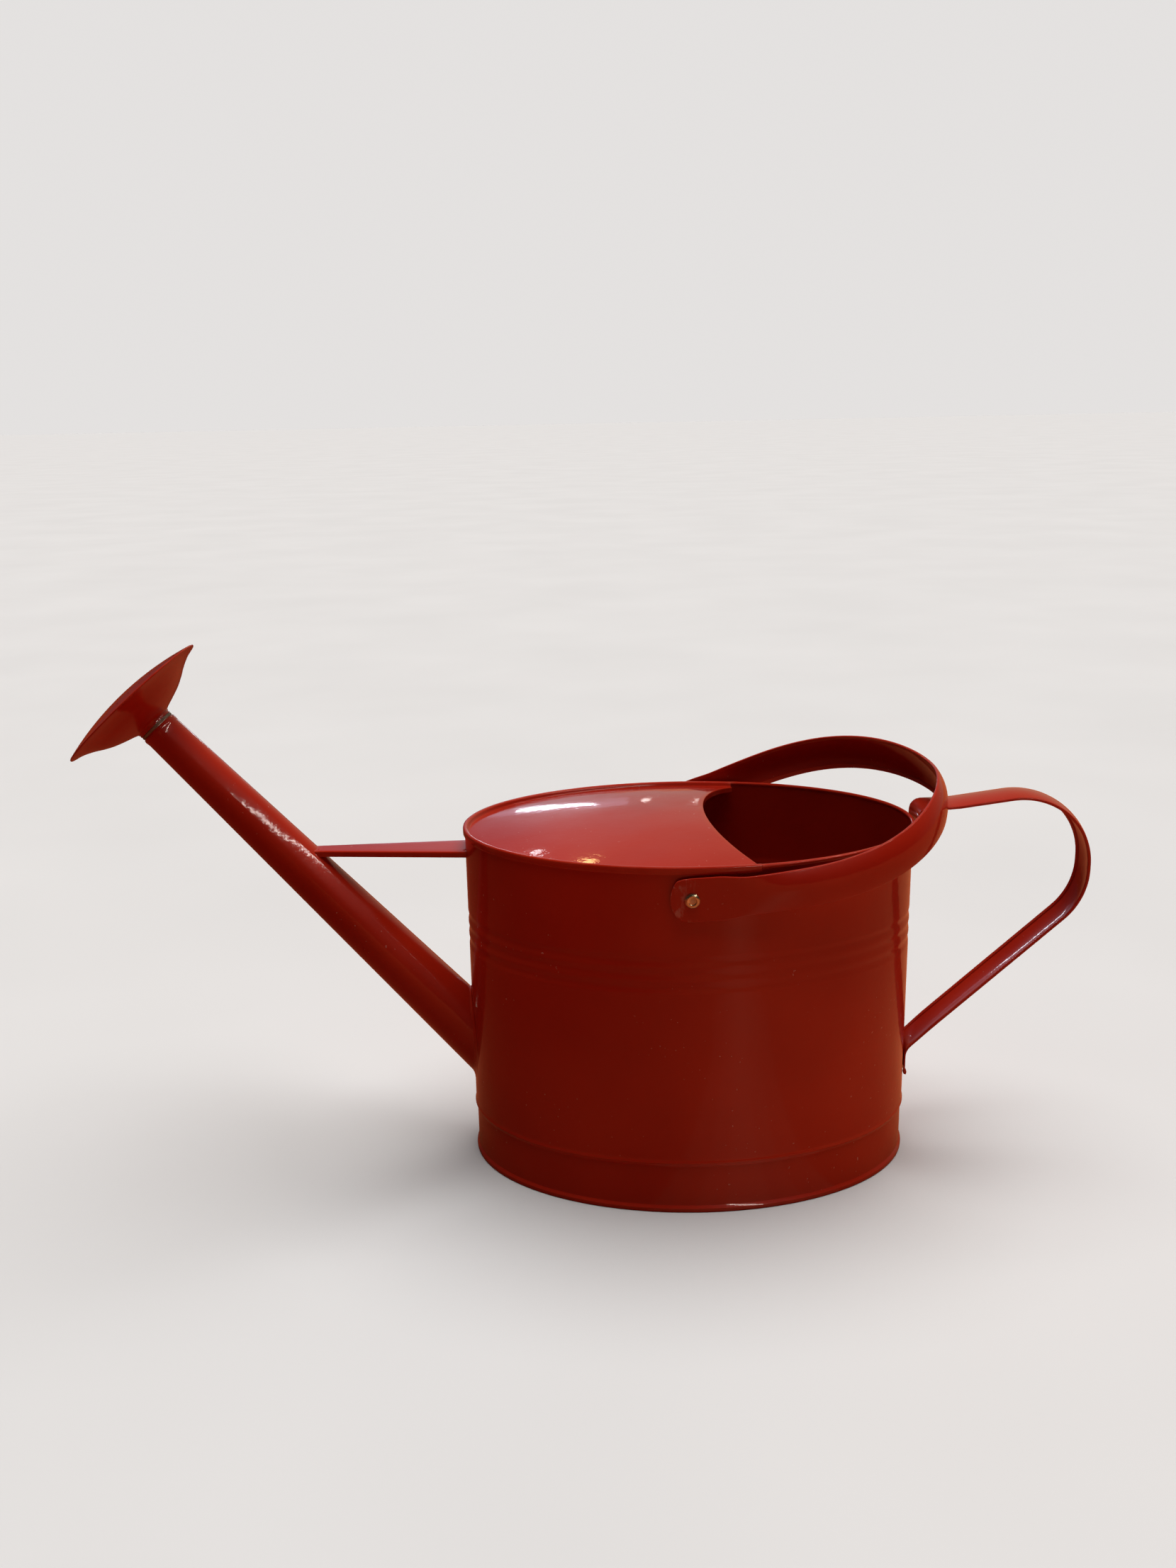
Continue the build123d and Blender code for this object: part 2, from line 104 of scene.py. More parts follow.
# Spout and rose, measured along the spout axis from the wall
SPOUT_ANGLE = math.radians(47.76)
SPOUT_START = Vector((-HALF_LENGTH, 0, 80.4 * MM))
SPOUT_AXIS = Vector((-math.cos(SPOUT_ANGLE), 0, math.sin(SPOUT_ANGLE)))
SPOUT_SIDE = Vector((0, 1, 0))
SPOUT_UP = SPOUT_SIDE.cross(SPOUT_AXIS)
SPOUT_LENGTH = 278 * MM
SPOUT_BASE_RADIUS = 19.1 * MM
SPOUT_TIP_RADIUS = 11.6 * MM
SPOUT_STEPS = 96
SPOUT_ROWS = 70
SPOUT_TIP = ((-3.2, 0.25), (-2.2, 0.42), (-1.2, 0.35), (-0.5, 0.05), (-0.1, -0.4))  # (from the end, swell)
SPOUT_TIP_RUN = 5 * MM
SPOUT_FOOT_SEARCH = (-45 * MM, 60 * MM)  # distances along the axis between which the wall is met
FILLET_SIZE = 2.3 * MM
FILLET_UNEVENNESS = 0.7 * MM
SEAL_START = SPOUT_LENGTH + 0.1 * MM
SEAL_TURNS = 72
SEAL = ((10.82, 0.0), (11.3, 0.0), (11.55, 0.3), (11.6, 0.8), (11.55, 1.3), (11.3, 1.6), (10.82, 1.6))
ROSE_START = SPOUT_LENGTH + 1.8 * MM
ROSE_NECK = (
    (10.85, 3.4), (10.85, 0.1), (11.2, 0.0), (11.6, 0.15), (11.7, 0.7), (11.6, 1.6), (12.1, 2.6),
)  # (radius, along)
ROSE_FLARE = ((14.5, 3.6), (18.5, 4.9), (26.0, 7.6), (32.0, 10.6), (37.5, 13.9), (44.0, 17.0), (50.2, 18.7))
ROSE_RIM = ((50.75, 18.85), (50.95, 19.15), (50.9, 19.6), (50.4, 19.85))
ROSE_THROAT = (12.2, 4.2)
ROSE_TURNS = 128
ROSE_FACE_SEAT = SPOUT_LENGTH + 21.63 * MM
ROSE_FACE_RADIUS = 50.4 * MM
ROSE_FACE_TURNS = 144
ROSE_FACE_STEPS = 36
ROSE_CROWN = 7 * MM
ROSE_HOLE_RADIUS = 0.8 * MM
ROSE_HOLE_CORNERS = 14
ROSE_RINGS = 5
ROSE_RING_STEP = 8.4 * MM

# Brace
BRACE_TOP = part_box("spout_brace")[1].z
BRACE_HALF_SPOUT = 6 * MM
BRACE_HALF_BODY = 13 * MM
BRACE_FLANGE = 3.8 * MM
BRACE_BEND = 1.2 * MM
BRACE_SHEET = 1.0 * MM
BRACE_STEPS = 24
BRACE_TIP_SEARCH = (-260 * MM, -150 * MM)  # X between which the spout is met

# Straps
STRAP_HEM_WIDTH = 2.6 * MM
STRAP_HEM = 0.7 * MM
HANDLE_WIDTH = 25 * MM
HANDLE_ARCH = 1.8 * MM
HANDLE_SHEET = 1.1 * MM
HANDLE_ROUTE = (
    (142.9, 200.0), (142.9, 227.5), (252.0, 242.5), (252.0, 166.5), (141.2, 64.9), (141.2, 50.0),
)  # (x, z)
HANDLE_RADII = (6.0, 46.0, 45.0, 9.0)
HANDLE_WRAP = 1.28 * MM  # how far the wall falls away under half the strap's width
HANDLE_OPENS = (16 * MM, 52 * MM)  # distances from the upper end over which the strap takes its arch
HANDLE_CLOSES = (10 * MM, 40 * MM)  # the same from the lower end
ROUTE_STEP = 2 * MM

# Bail
HINGE_X = -3.5 * MM
HINGE_Z = 201.2 * MM
BAIL_TILT = math.radians(14.5)
BAIL_REACH = 166.8 * MM
BAIL_HALF_SPAN = 94.95 * MM
BAIL_REACH_POWER = 2.7
BAIL_SPAN_POWER = 2.2
BAIL_LEAN = 30.6 * MM
BAIL_BOW = 3 * MM
BAIL_WIDTH = 23 * MM
BAIL_TAB_WIDTH = 26.5 * MM
BAIL_TAB_END = 12.5 * MM
BAIL_TAB_CORNER = 4.2 * MM
BAIL_TAB_END_HALF = 11.6 * MM
BAIL_TAB_SIDES = ((7.0, 24.6), (4.0, 25.9))  # (distance past the hinge, width)
BAIL_NECK = (14 * MM, 34 * MM)  # distances from the hinge over which the strap narrows
BAIL_ARM = (22 * MM, 62 * MM)  # distances from the hinge over which it takes its arch
BAIL_ARCH = 2.6 * MM
BAIL_SHEET = 1.2 * MM
BAIL_STEPS = 90  # on each side

# Rivets: (radius, distance from the middle plane of the can)
RIVET_HEAD = (
    (1.43, 96.75), (2.0, 96.8), (2.15, 97.0), (2.4, 97.12), (3.1, 97.14), (3.7, 96.95), (4.2, 96.5),
    (4.47, 96.0), (4.5, 95.75),
)
RIVET_SHANK = (
    (2.4, 95.75), (2.4, 90.5), (3.3, 90.3), (3.6, 89.4), (3.4, 88.5), (2.8, 88.2), (1.43, 88.2),
)
RIVET_TURNS = 64

# Solder lumps: (centre, half sizes)
HANDLE_LUMPS = (
    ((141.2, 0, 208.0), (1.3, 8.5, 7.5)),
    ((140.9, 0, 57.5), (1.0, 9.5, 6.0)),
    ((141.0, -9.0, 49.2), (1.1, 2.6, 2.0)),
    ((140.9, 5.0, 48.8), (1.0, 5.5, 1.6)),
)
BRACE_WALL_LUMPS = (
    ((-140.4, 0, 204.0), (2.2, 11.5, 1.9)),
    ((-140.2, -8.5, 204.8), (1.7, 3.4, 1.5)),
)
BRACE_TIP_LUMPS = (
    ((1.5, 0, 204.6), (2.6, 4.6, 1.5)),
    ((0.4, -2.0, 205.2), (1.5, 2.6, 1.0)),
)  # X from the tip of the brace
LUMP_RINGS = 18
LUMP_CORNERS = 28
LUMP_UNEVENNESS = 0.16

# Colours, and metals as (colour, tarnished colour, roughness)
RED = (0.42, 0.013, 0.003)
BRIGHT_RED = (0.50, 0.022, 0.006)
EDGE_RED = (0.62, 0.10, 0.06)
DUST = (0.75, 0.45, 0.38)
SCUFFED = (0.58, 0.33, 0.28)
RUBBER = (0.20, 0.185, 0.13)
WORN_RUBBER = (0.32, 0.30, 0.22)
RIVET_METAL = ((0.72, 0.62, 0.42), (0.42, 0.33, 0.19), 0.24)
BARE_STEEL = ((0.50, 0.48, 0.44), (0.30, 0.28, 0.25), 0.35)
MANDREL_STEEL = ((0.55, 0.50, 0.40), (0.30, 0.26, 0.20), 0.3)
SOLDER_BUMPS = 0.3 * MM

# Lights: (name, place, size or radius, power, colour)
WINDOWS = (
    ("window", (-0.22, 2.0, 0.52), (0.2, 0.045), 0.3, (0.74, 0.88, 1.0)),
    ("window_haze", (-0.28, 2.05, 0.54), (0.5, 0.16), 0.08, (0.80, 0.72, 1.0)),
)
LAMPS = (
    ("back_lamp", (-0.175, 1.19, 1.19), 0.03, 0.7, (1.0, 0.62, 0.24)),
    ("small_back_lamp", (-0.30, 1.27, 1.09), 0.015, 0.15, (0.9, 0.93, 1.0)),
    ("left_spot", (0.03, 2.04, 0.51), 0.01, 0.05, (1.0, 0.95, 0.9)),
    ("right_spot", (0.156, 2.01, 0.58), 0.01, 0.05, (1.0, 0.95, 0.9)),
)
SIDE_STRIP = ("side_strip", (0.70, -0.62, 1.06), (0.022, 1.7), 4.0, (1.0, 0.92, 0.82))
SIDE_STRIP_RUN = (0.3, 0.95, 0.1)
FLOOR_STREAK = (0.15, -0.45)
FLOOR_STREAK_LENGTH = 0.8
FLOOR_STREAK_RUN = (0.31, -0.95, 0)
FLOOR_STREAK_COLOUR = (1.0, 0.7, 0.45)
FLOOR_STREAKS = ((0.03, 0.012), (0.07, 0.02), (0.12, 0.02))  # (width, power)
OVERHEAD_TILT = (-6, 5, 0)
OVERHEAD_WIDTH = 55
OVERHEAD_STRENGTH = 2.8

# Room, as the can reflects it and as the camera sees it
ROOM_FRONT = (0.030, 0.022, 0.018)
ROOM_LEFT = (0.05, 0.035, 0.035)
ROOM_BACK = (0.31, 0.28, 0.34)
ROOM_RIGHT = (0.42, 0.28, 0.19)
BACKDROP = (0.775, 0.755, 0.745)
FLOOR_HALF = 40.0
FLOOR_PALE = ((0.78, 0.775, 0.765), (0.81, 0.805, 0.795))
# Floor colour that only the can sees: painted bounce light and reflection, dark towards -X and warm amber
# towards +X
FLOOR_PAINTED_BOUNCE = ((0.19, 0.03, 0.012), (0.55, 0.15, 0.06))

# Camera
CAMERA_PLACE = (-0.0549, -0.839, 0.4724)
CAMERA_ANGLES = (15.17, -1.15, 0.49)  # pitch, roll and azimuth in degrees
CAMERA_LENS = 31.98
CAMERA_SENSOR = 36

BISECTIONS = 40


# ---------------------------------------------------------------- meshes

def smooth_share(value, low, high):
    """Share of the way from low to high, eased at both ends."""
    share = min(max((value - low) / (high - low), 0), 1)
    return share * share * (3 - 2 * share)


def sweep(sections, closed=False):
    """Vertices and faces of a skin through closed sections with the same number of points."""
    count = len(sections[0])
    vertices = [tuple(point) for section in sections for point in section]
    faces = []
    rows = len(sections)
    for row in range(rows if closed else rows - 1):
        here = row * count
        ahead = ((row + 1) % rows) * count
        for i in range(count):
            j = (i + 1) % count
            faces.append((here + i, here + j, ahead + j, ahead + i))
    if not closed:
        faces.append(tuple(range(count)))
        faces.append(tuple(range((rows - 1) * count, rows * count)))
    return vertices, faces


def join_skins(*skins):
    """One skin made of several."""
    vertices, faces = [], []
    for more_vertices, more_faces in skins:
        start = len(vertices)
        vertices += more_vertices
        faces += [tuple(start + i for i in face) for face in more_faces]
    return vertices, faces


def new_piece(name, skin, sharp=38):
    """Object made of a skin, smooth except at edges sharper than so many degrees."""
    mesh = bpy.data.meshes.new(name)
    vertices, faces = skin
    mesh.from_pydata(vertices, [], faces)
    work = bmesh.new()
    work.from_mesh(mesh)
    bmesh.ops.recalc_face_normals(work, faces=work.faces)
    work.to_mesh(mesh)
    work.free()
    mesh.shade_smooth()
    mesh.set_sharp_from_angle(angle=math.radians(sharp))
    piece = bpy.data.objects.new(name, mesh)
    bpy.context.scene.collection.objects.link(piece)
    return piece


def finish_piece(piece, material, body, slot, *replaced):
    """Gives a piece its look and its body, and hides the CAD nodes that it replaces; slot is not used."""
    piece.data.materials.clear()
    piece.data.materials.append(material)
    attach(piece, body)
    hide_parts(*replaced)


def cut(piece, cutter, sharp=30):
    """Subtracts cutter from piece and removes cutter."""
    modifier = piece.modifiers.new("cut", "BOOLEAN")
    modifier.operation = "DIFFERENCE"
    modifier.solver = "EXACT"
    modifier.object = cutter
    bpy.context.view_layer.objects.active = piece
    bpy.ops.object.modifier_apply(modifier="cut")
    bpy.data.objects.remove(cutter)
    piece.data.shade_smooth()
    piece.data.set_sharp_from_angle(angle=math.radians(sharp))


def oval_point(turn, outset, z):
    """Point on the body's oval, grown by outset."""
    return Vector(((HALF_LENGTH + outset) * math.cos(turn), (HALF_WIDTH + outset) * math.sin(turn), z))


def in_metres(outline):
    return [(across * MM, along * MM) for across, along in outline]


def revolve(profile, plane, steps):
    """Skin of a closed (radius, along) profile turned about a normal: plane is origin, x, y and normal."""
    origin, x_axis, y_axis, normal = plane
    sections = []
    for step in range(steps):
        turn = 2 * math.pi * step / steps
        out = x_axis * math.cos(turn) + y_axis * math.sin(turn)
        sections.append([origin + out * radius + normal * along for radius, along in profile])
    return sweep(sections, closed=True)


def smooth_line(points):
    """Catmull-Rom curve through 2-D points."""
    steps = 6
    padded = [points[0], *points, points[-1]]
    line = []
    for i in range(1, len(padded) - 2):
        before, start, end, after = (Vector(p) for p in padded[i - 1:i + 3])
        for step in range(steps):
            t = step / steps
            bend = (end - before) * t + (2 * before - 5 * start + 4 * end - after) * t**2
            bend += (3 * start - before - 3 * end + after) * t**3
            line.append(tuple(start + bend * 0.5))
    return line + [tuple(points[-1])]


# ---------------------------------------------------------------- body and cover

def wall_outset(z):
    """Outset of the wall's outer face: skirt, bead, plain wall and pressed grooves."""
    outset = -SKIRT_INSET * (1 - smooth_share(z, *SKIRT_STEP))
    outset += BEAD_OUT * math.exp(-(((z - BEAD_HEIGHT) / BEAD_SPREAD) ** 2))
    for height in GROOVE_HEIGHTS:
        off = abs(z - height) / GROOVE_STEP
        if off < 0.5:
            outset -= GROOVE_DEPTH * math.cos(math.pi * off) ** 2
    return outset


def wall_heights():
    """Heights of the wall's rows, close together at the bead and the grooves."""
    steps = [4.4, 6, 12, 20, 26]
    steps += [28.5 + 0.5 * i for i in range(20)]
    steps += [45 + 12 * i for i in range(8)]
    steps += [141.5 + 0.6 * i for i in range(44)]
    steps += [172, 180, 190, 200, 210, 216]
    return [z * MM for z in steps]


def wall_profile():
    """Closed (outset, height) section of the wall."""
    outer = in_metres(BASE_HEM)
    outer += [(wall_outset(z), z) for z in wall_heights()] + [(0, WALL_TOP)]
    inner = [(-SHEET, WALL_TOP)]
    inner += [(wall_outset(z) - SHEET, z) for z in reversed(wall_heights()[1:])]
    return outer + inner


def rear_hem():
    """Roll of the wall's upper edge round its wire, along the open half of the rim."""
    start = math.acos(COVER_END / HALF_LENGTH)
    sections = []
    for step in range(HEM_STEPS + 1):
        turn = start * (1 - 2 * step / HEM_STEPS)
        loop = []
        for corner in range(HEM_CORNERS):
            angle = 2 * math.pi * corner / HEM_CORNERS
            outset = HEM_OUT + HEM_RADIUS * math.cos(angle)
            loop.append(oval_point(turn, outset, RIM_TOP - HEM_RADIUS + HEM_RADIUS * math.sin(angle)))
        sections.append(loop)
    return sweep(sections)


def body_wall():
    """Wall with its hemmed foot and the opening into the spout."""
    profile = wall_profile()
    sections = []
    for step in range(TURNS):
        turn = 2 * math.pi * step / TURNS
        sections.append([oval_point(turn, outset, z) for outset, z in profile])
    wall = new_piece("body_wall", sweep(sections, closed=True))
    turns = [2 * math.pi * step / SPOUT_STEPS for step in range(SPOUT_STEPS)]
    bore = []
    for along in SPOUT_BORE:
        bore.append([on_spout(turn, spout_radius(along) - SHEET, along) for turn in turns])
    cut(wall, new_piece("spout_opening", sweep(bore)))
    return wall


def cover_height(x, y):
    """Height of the crowned cover's upper face."""
    reach = 2 * SHEET
    share = (x / (HALF_LENGTH - reach)) ** 2 + (y / (HALF_WIDTH - reach)) ** 2
    return COVER_EDGE + COVER_CROWN * (1 - share)


def cover_section(turn, swing):
    """Section of the cover from its seam, at turn round the oval, to its mouth, at swing round the cut."""
    loop = [oval_point(turn, outset, RIM_TOP + z) for outset, z in in_metres(SEAM)]
    rim = oval_point(turn, SEAM_END, 0)
    lip_out = Vector((math.cos(swing), -math.sin(swing), 0))
    mouth_x = COVER_CUT_CENTRE - COVER_CUT_RADIUS * math.cos(swing)
    mouth = Vector((mouth_x, COVER_CUT_RADIUS * math.sin(swing), 0))
    shares = [(i / COVER_STEPS_ACROSS) ** COVER_SPACING for i in range(COVER_STEPS_ACROSS + 1)]
    top = [rim.lerp(mouth, share) for share in shares]
    for point in top:
        point.z = cover_height(point.x, point.y)
    loop += top
    loop += [top[-1] + lip_out * out + Vector((0, 0, z)) for out, z in in_metres(LIP)]
    loop += [point - Vector((0, 0, SHEET)) for point in reversed(top)]
    loop.append(oval_point(turn, -2.9 * MM, COVER_EDGE - SHEET))
    return loop + [oval_point(turn, outset, WALL_TOP + z) for outset, z in in_metres(COVER_CLASP)]


def front_cover():
    """Crowned sheet with its seam over the wall and a turned-down lip at the mouth."""
    start = math.acos(COVER_END / HALF_LENGTH)
    cut_end = math.acos((COVER_CUT_CENTRE - COVER_END + 0.4 * MM) / COVER_CUT_RADIUS)
    sections = []
    for step in range(COVER_STEPS + 1):
        share = step / COVER_STEPS
        turn = start + (2 * math.pi - 2 * start) * share
        sections.append(cover_section(turn, cut_end * (1 - 2 * share)))
    return new_piece("half_cover", sweep(sections), sharp=50)


# ---------------------------------------------------------------- spout and rose

def spout_radius(along):
    return SPOUT_BASE_RADIUS + (SPOUT_TIP_RADIUS - SPOUT_BASE_RADIUS) * along / SPOUT_LENGTH


def on_spout(turn, radius, along):
    """Point at a radius and a turn from the spout's axis."""
    out = SPOUT_SIDE * math.cos(turn) + SPOUT_UP * math.sin(turn)
    return SPOUT_START + SPOUT_AXIS * along + out * radius


def meets_wall(turn, grow, outset=0.0):
    """Distance along the axis where the spout's surface, grown by grow, leaves the wall."""
    low, high = SPOUT_FOOT_SEARCH
    for _ in range(BISECTIONS):
        middle = (low + high) / 2
        point = on_spout(turn, spout_radius(middle) + grow, middle)
        inside = (point.x / (HALF_LENGTH + outset)) ** 2 + (point.y / (HALF_WIDTH + outset)) ** 2 < 1
        low, high = (middle, high) if inside else (low, middle)
    return (low + high) / 2


def spout_tube():
    """Tapered tube from the wall to a rounded, slightly drawn-in tip."""
    sections = []
    for step in range(SPOUT_STEPS):
        turn = 2 * math.pi * step / SPOUT_STEPS
        foot = meets_wall(turn, 0)
        end = SPOUT_LENGTH - SPOUT_TIP_RUN
        alongs = [foot + (end - foot) * i / SPOUT_ROWS for i in range(SPOUT_ROWS + 1)]
        loop = [on_spout(turn, spout_radius(along), along) for along in alongs]
        for from_end, swell in in_metres(SPOUT_TIP):
            along = SPOUT_LENGTH + from_end
            loop.append(on_spout(turn, spout_radius(along) + swell, along))
        loop += [on_spout(turn, spout_radius(along) - SHEET, along) for along in reversed(alongs)]
        sections.append(loop)
    return new_piece("spout", sweep(sections, closed=True))


def spout_fillet():
    """Uneven concave solder fillet round the spout's foot."""
    sections = []
    for step in range(2 * SPOUT_STEPS):
        turn = math.pi * step / SPOUT_STEPS
        unevenness = noise.noise(Vector((3 * math.cos(turn), 3 * math.sin(turn), 5)))
        size = FILLET_SIZE + FILLET_UNEVENNESS * unevenness
        foot = meets_wall(turn, 0)
        root = on_spout(turn, spout_radius(foot) - 0.1 * MM, foot - 0.1 * MM)
        upper = on_spout(turn, spout_radius(foot + size) + 0.03 * MM, foot + size)
        spread = meets_wall(turn, size, 0.05 * MM)
        lower = on_spout(turn, spout_radius(spread) + size, spread)
        corner_along = meets_wall(turn, 0.25 * size) + 0.2 * size
        corner = on_spout(turn, spout_radius(foot) + 0.25 * size, corner_along)
        loop = [root, upper]
        for i in range(1, 7):
            t = i / 7
            loop.append(upper * (1 - t) ** 2 + corner * 2 * t * (1 - t) + lower * t**2)
        loop.append(lower)
        sections.append(loop)
    return new_piece("spout_fillet", sweep(sections, closed=True), sharp=60)


def rose_plane(along):
    """Plane across the spout's axis, for revolve."""
    return SPOUT_START + SPOUT_AXIS * along, SPOUT_SIDE, SPOUT_UP, SPOUT_AXIS


def rose_back():
    """Neck with a small bead, S-shaped flare and a folded rim."""
    outer = list(ROSE_NECK[:-1]) + smooth_line([ROSE_NECK[-1], *ROSE_FLARE])
    inner = [(radius - 0.2, along + 0.9) for radius, along in reversed(ROSE_FLARE[:-1])]
    profile = in_metres([*outer, *ROSE_RIM, *inner, ROSE_THROAT])
    return new_piece("rose_back", revolve(profile, rose_plane(ROSE_START), ROSE_TURNS))


def rose_holes(start, end):
    """Pins through the rose's face: one in the middle and rings of six more each."""
    places = [(0, 0)]
    for ring in range(1, ROSE_RINGS + 1):
        places += [(ring * ROSE_RING_STEP, math.pi * i / (3 * ring)) for i in range(6 * ring)]
    turns = [2 * math.pi * i / ROSE_HOLE_CORNERS for i in range(ROSE_HOLE_CORNERS)]
    pins = []
    for out, swing in places:
        middle = SPOUT_SIDE * (out * math.cos(swing)) + SPOUT_UP * (out * math.sin(swing))
        sections = []
        for along in (start, end):
            sections.append([on_spout(turn, ROSE_HOLE_RADIUS, along) + middle for turn in turns])
        pins.append(sweep(sections))
    return join_skins(*pins)


def shade_as_ball(piece, centre):
    """Gives the domed faces the normals of the ball they lie on, so that the holes leave no streaks."""
    domed = 0.9  # a face this much along the ball's radius isn't the side of a hole
    mesh = piece.data
    normals = []
    for face in mesh.polygons:
        for index in face.vertices:
            radial = (mesh.vertices[index].co - centre).normalized()
            facing = face.normal.dot(radial)
            normals.append(radial * math.copysign(1, facing) if abs(facing) > domed else face.normal)
    mesh.normals_split_custom_set(normals)


def rose_plate():
    """Domed, perforated face of the rose."""
    ball = (ROSE_FACE_RADIUS**2 + ROSE_CROWN**2) / (2 * ROSE_CROWN)
    sunk = ball - ROSE_CROWN
    middle = 0.3 * MM  # inside the central hole

    def arc(radius):
        edge = math.sqrt(radius**2 - sunk**2)
        outs = [edge + (middle - edge) * i / ROSE_FACE_STEPS for i in range(ROSE_FACE_STEPS + 1)]
        return [(out, math.sqrt(radius**2 - out**2) - sunk) for out in outs]

    profile = arc(ball) + arc(ball - SHEET)[::-1]
    plate = new_piece("rose_plate", revolve(profile, rose_plane(ROSE_FACE_SEAT), ROSE_FACE_TURNS))
    cut(plate, new_piece("rose_pins", rose_holes(ROSE_FACE_SEAT - 2 * MM, ROSE_FACE_SEAT + 2 * ROSE_CROWN)))
    shade_as_ball(plate, SPOUT_START + SPOUT_AXIS * (ROSE_FACE_SEAT - sunk))
    return plate


def seal_ring():
    """Squeezed rubber washer with a rounded edge."""
    return new_piece("seal_ring", revolve(in_metres(SEAL), rose_plane(SEAL_START), SEAL_TURNS))


# ---------------------------------------------------------------- brace

def meets_spout(y, z):
    """X where a line along X at (y, z) enters the spout from the body side."""
    low, high = BRACE_TIP_SEARCH
    for _ in range(BISECTIONS):
        middle = (low + high) / 2
        offset = Vector((middle, y, z)) - SPOUT_START
        along = offset.dot(SPOUT_AXIS)
        away = (offset - SPOUT_AXIS * along).length
        outside_above = away > spout_radius(along) and offset.dot(SPOUT_UP) > 0
        low, high = (low, middle) if outside_above else (middle, high)
    return (low + high) / 2


def brace_section(half):
    """Inverted channel with rounded bends, as (y, z) points."""
    foot = BRACE_TOP - BRACE_FLANGE
    outer = [(half, foot), (half, BRACE_TOP - BRACE_BEND)]
    for i in range(1, 6):
        angle = math.pi / 2 * i / 6
        y = half - BRACE_BEND * (1 - math.cos(angle))
        outer.append((y, BRACE_TOP - BRACE_BEND * (1 - math.sin(angle))))
    outer += [(half - BRACE_BEND, BRACE_TOP), (half * 0.4, BRACE_TOP)]
    outer += [(-y, z) for y, z in reversed(outer)]
    low = BRACE_TOP - BRACE_SHEET
    side = BRACE_SHEET - half
    inner = [(side, foot), (side, low - 0.3 * MM), (side + 0.5 * BRACE_SHEET, low)]
    inner += [(-y, z) for y, z in reversed(inner)]
    return outer + inner


def spout_brace():
    """Tapered channel, fitted to the wall at one end and the spout at the other."""
    at_body = brace_section(BRACE_HALF_BODY)
    at_spout = brace_section(BRACE_HALF_SPOUT)
    ends = []
    for (wall_y, z), (tip_y, _) in zip(at_body, at_spout):
        wall_x = -(HALF_LENGTH + 0.05 * MM) * math.sqrt(1 - (wall_y / HALF_WIDTH) ** 2)
        ends.append((Vector((wall_x, wall_y, z)), Vector((meets_spout(tip_y, z), tip_y, z))))
    shares = [step / BRACE_STEPS for step in range(BRACE_STEPS + 1)]
    sections = [[start.lerp(end, share) for start, end in ends] for share in shares]
    return new_piece("brace", sweep(sections))


# ---------------------------------------------------------------- straps

def strap_loop(width, arch, sheet, hem):
    """Section of a strap as (across, out) points: arched sheet with both edges folded under by hem."""
    half = width / 2
    count = 12

    def top(x):
        return sheet / 2 - arch * (x / half) ** 2

    bulge = (sheet + hem) / 2
    round_edge = bulge * 0.6
    inset = half - round_edge
    outer = [(i / count * inset, top(i / count * inset)) for i in range(-count, count + 1)]
    right = []
    for i in range(1, 6):
        angle = math.pi / 2 - math.pi * i / 6
        right.append((inset + round_edge * math.cos(angle), top(inset) - bulge + bulge * math.sin(angle)))
    fold = half - STRAP_HEM_WIDTH
    right += [(inset, top(inset) - 2 * bulge), (fold + 0.2 * MM, top(fold) - sheet - hem)]
    right += [(fold, top(fold) - sheet - hem * 0.7), (fold - 0.1 * MM, top(fold) - sheet)]
    flat = [fold * 0.9 * share for share in (0.9, 0.6, 0.3, 0, -0.3, -0.6, -0.9)]
    under = [(x, top(x) - sheet) for x in flat]
    left = [(-x, y) for x, y in reversed(right)]
    return outer + right + under + left


def rounded_route(points, radii):
    """Points and directions along straight runs joined by tangent arcs, in a 2-D plane."""
    line = [(points[0], (points[1] - points[0]).normalized())]
    for i, radius in enumerate(radii, start=1):
        into = (points[i] - points[i - 1]).normalized()
        out = (points[i + 1] - points[i]).normalized()
        turn = into.angle_signed(out)
        reach = radius * math.tan(abs(turn) / 2)
        start = points[i] - into * reach
        run = (start - line[-1][0]).length
        count = max(int(run / (3 * ROUTE_STEP)), 1)
        begin = line[-1][0]
        line += [(begin.lerp(start, n / count), into) for n in range(1, count + 1)]
        side = Vector((-into.y, into.x)) * (-1 if turn > 0 else 1)
        count = max(int(radius * abs(turn) / ROUTE_STEP), 4)
        for n in range(1, count + 1):
            spin = Matrix.Rotation(-turn * n / count, 2)
            line.append((start + side * radius - (spin @ side) * radius, spin @ into))
    begin, end = line[-1][0], points[-1]
    line += [(begin.lerp(end, n / 6), line[-1][1]) for n in range(1, 7)]
    return line


def rear_handle():
    """Arched strap whose feet are dressed to the curve of the wall."""
    points = [Vector(point) * MM for point in HANDLE_ROUTE]
    line = rounded_route(points, [radius * MM for radius in HANDLE_RADII])
    lengths = [0.0]
    for (here, _), (there, _) in zip(line, line[1:]):
        lengths.append(lengths[-1] + (there - here).length)
    total = lengths[-1]
    sections = []
    for (point, direction), length in zip(line, lengths):
        opening = smooth_share(length, *HANDLE_OPENS)
        closing = smooth_share(total - length, *HANDLE_CLOSES)
        arch = -HANDLE_WRAP + (HANDLE_ARCH + HANDLE_WRAP) * opening
        arch += (HANDLE_WRAP - HANDLE_ARCH) * (1 - closing)
        hem = STRAP_HEM * opening * closing
        origin = Vector((point.x, 0, point.y))
        out = Vector((-direction.y, 0, direction.x))
        across = Vector((0, 1, 0))
        loop = strap_loop(HANDLE_WIDTH, arch, HANDLE_SHEET, hem)
        sections.append([origin + across * x + out * y for x, y in loop])
    return new_piece("handle_strap", sweep(sections))


